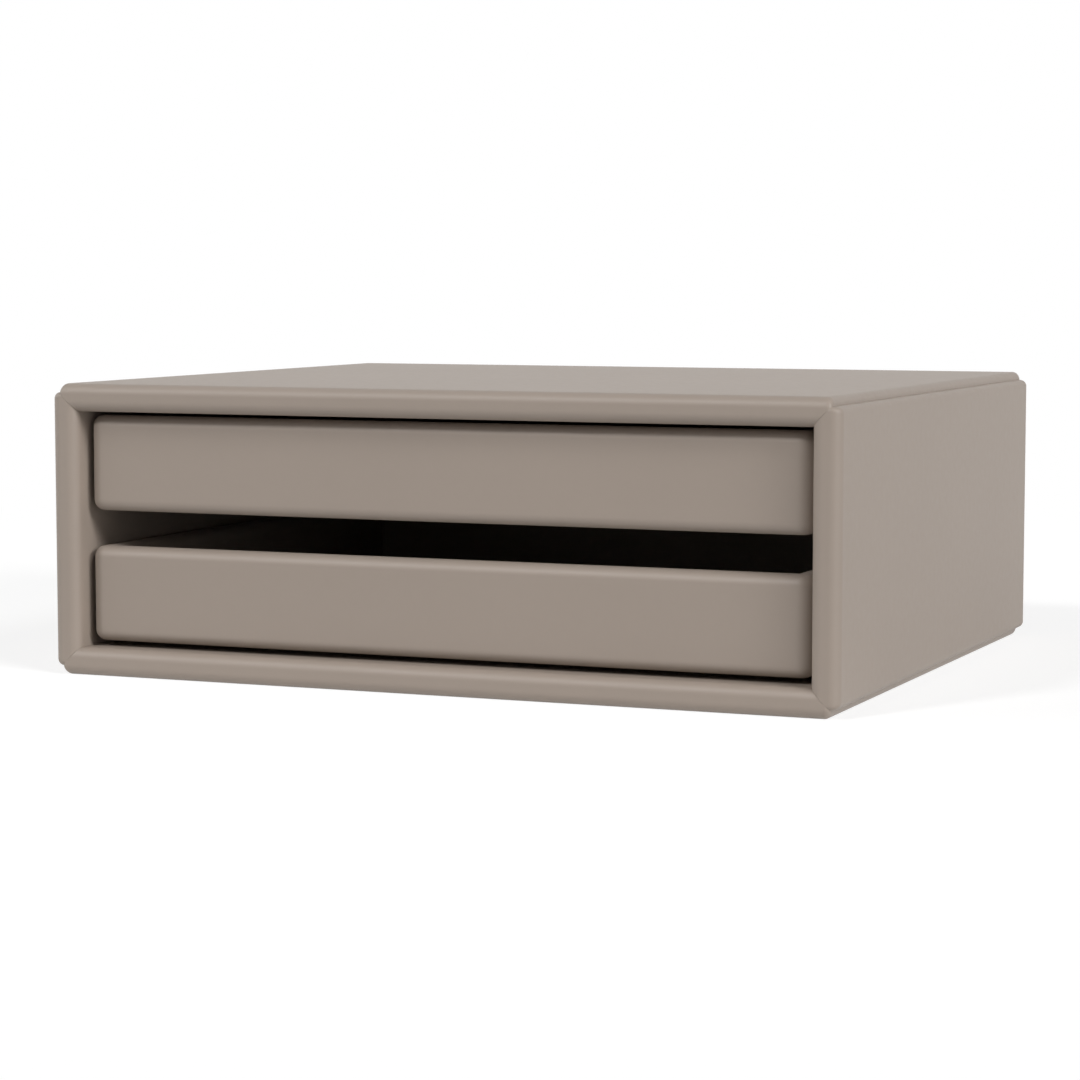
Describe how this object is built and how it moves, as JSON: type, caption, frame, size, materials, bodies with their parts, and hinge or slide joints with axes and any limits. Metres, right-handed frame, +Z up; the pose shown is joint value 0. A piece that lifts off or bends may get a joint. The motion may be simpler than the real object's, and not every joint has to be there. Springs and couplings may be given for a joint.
{
  "type": "desk drawer unit",
  "caption": "Low open-front desk case of mitred, rounded boards holding handle-free trays that slide out on side runners.",
  "frame": {"origin": "middle of the underside of the case", "axes": "+X to the right seen from the front, +Y from the open front to the back, +Z up"},
  "size_m": [0.354, 0.302, 0.126],
  "materials": {
    "case_lacquer": "satin lacquer, warm taupe, on fibreboard",
    "tray_lacquer": "satin lacquer, warm taupe, on fibreboard",
    "runner_beech": "planed and waxed beech",
    "tongue_beech": "bare beech",
    "screw_steel": "zinc-plated steel"
  },
  "bodies": {
    "case": {"top_panel": "case_lacquer", "bottom_panel": "case_lacquer", "left_side_panel": "case_lacquer", "right_side_panel": "case_lacquer", "back_panel": "case_lacquer", "case_tongues": "tongue_beech", "upper_left_runner": "runner_beech", "upper_right_runner": "runner_beech", "lower_left_runner": "runner_beech", "lower_right_runner": "runner_beech", "runner_screws": "screw_steel"},
    "upper_tray": {"upper_tray_front": "tray_lacquer", "upper_tray_back": "tray_lacquer", "upper_tray_left_wall": "tray_lacquer", "upper_tray_right_wall": "tray_lacquer", "upper_tray_floor": "tray_lacquer", "upper_tray_tongues": "tongue_beech"},
    "lower_tray": {"lower_tray_front": "tray_lacquer", "lower_tray_back": "tray_lacquer", "lower_tray_left_wall": "tray_lacquer", "lower_tray_right_wall": "tray_lacquer", "lower_tray_floor": "tray_lacquer", "lower_tray_tongues": "tongue_beech"}
  },
  "joints": [
    {"name": "upper_tray_slide", "type": "slide", "parent": "case", "child": "upper_tray", "axis": [0, -1, 0], "range_m": [0, 0.18]},
    {"name": "lower_tray_slide", "type": "slide", "parent": "case", "child": "lower_tray", "axis": [0, -1, 0], "range_m": [0, 0.18]}
  ]
}
